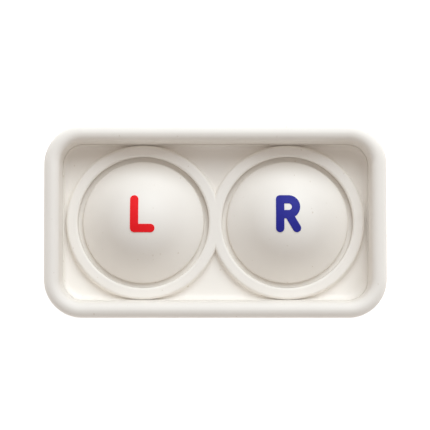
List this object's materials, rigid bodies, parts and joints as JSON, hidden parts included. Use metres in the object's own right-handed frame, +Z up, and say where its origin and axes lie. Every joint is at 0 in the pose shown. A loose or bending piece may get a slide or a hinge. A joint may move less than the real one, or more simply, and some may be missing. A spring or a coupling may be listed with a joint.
{
  "type": "contact lens case",
  "caption": "Rounded open tray with a lift-out deck of collared wells that hold lens cups under domed push-in lids with ring seals and left and right marks.",
  "frame": {"origin": "on the table, under the middle of the tray", "axes": "+X along the length to the user's right, +Y away from the user, +Z up"},
  "size_m": [0.07, 0.0392, 0.02],
  "materials": {
    "fibre_plastic": "matte moulded plant-fibre polypropylene, warm off-white",
    "cup_plastic": "smooth moulded polypropylene, milky white",
    "silicone": "soft moulded silicone, translucent grey-white",
    "red_ink": "pad-printed red ink film, satin",
    "blue_ink": "pad-printed blue ink film, satin"
  },
  "bodies": {
    "tray": {"outer_tray": "fibre_plastic"},
    "deck": {"well_deck": "fibre_plastic", "left_cup": "cup_plastic", "right_cup": "cup_plastic"},
    "left_ring": {"left_seal": "silicone"},
    "left_cap": {"left_lid": "fibre_plastic", "left_mark": "red_ink"},
    "right_ring": {"right_seal": "silicone"},
    "right_cap": {"right_lid": "fibre_plastic", "right_mark": "blue_ink"}
  },
  "joints": [
    {"name": "deck_lift", "type": "slide", "parent": "tray", "child": "deck", "axis": [0, 0, 1], "range_m": [0, 0.02]},
    {"name": "left_lid_lift", "type": "slide", "parent": "deck", "child": "left_ring", "axis": [0, 0, 1], "range_m": [0, 0.02]},
    {"name": "left_lid_turn", "type": "hinge", "parent": "left_ring", "child": "left_cap", "pos_m": [-0.0149, 0, 0.0116], "axis": [0, 0, 1], "continuous": true},
    {"name": "right_lid_lift", "type": "slide", "parent": "deck", "child": "right_ring", "axis": [0, 0, 1], "range_m": [0, 0.02]},
    {"name": "right_lid_turn", "type": "hinge", "parent": "right_ring", "child": "right_cap", "pos_m": [0.0149, 0, 0.0116], "axis": [0, 0, 1], "continuous": true}
  ]
}
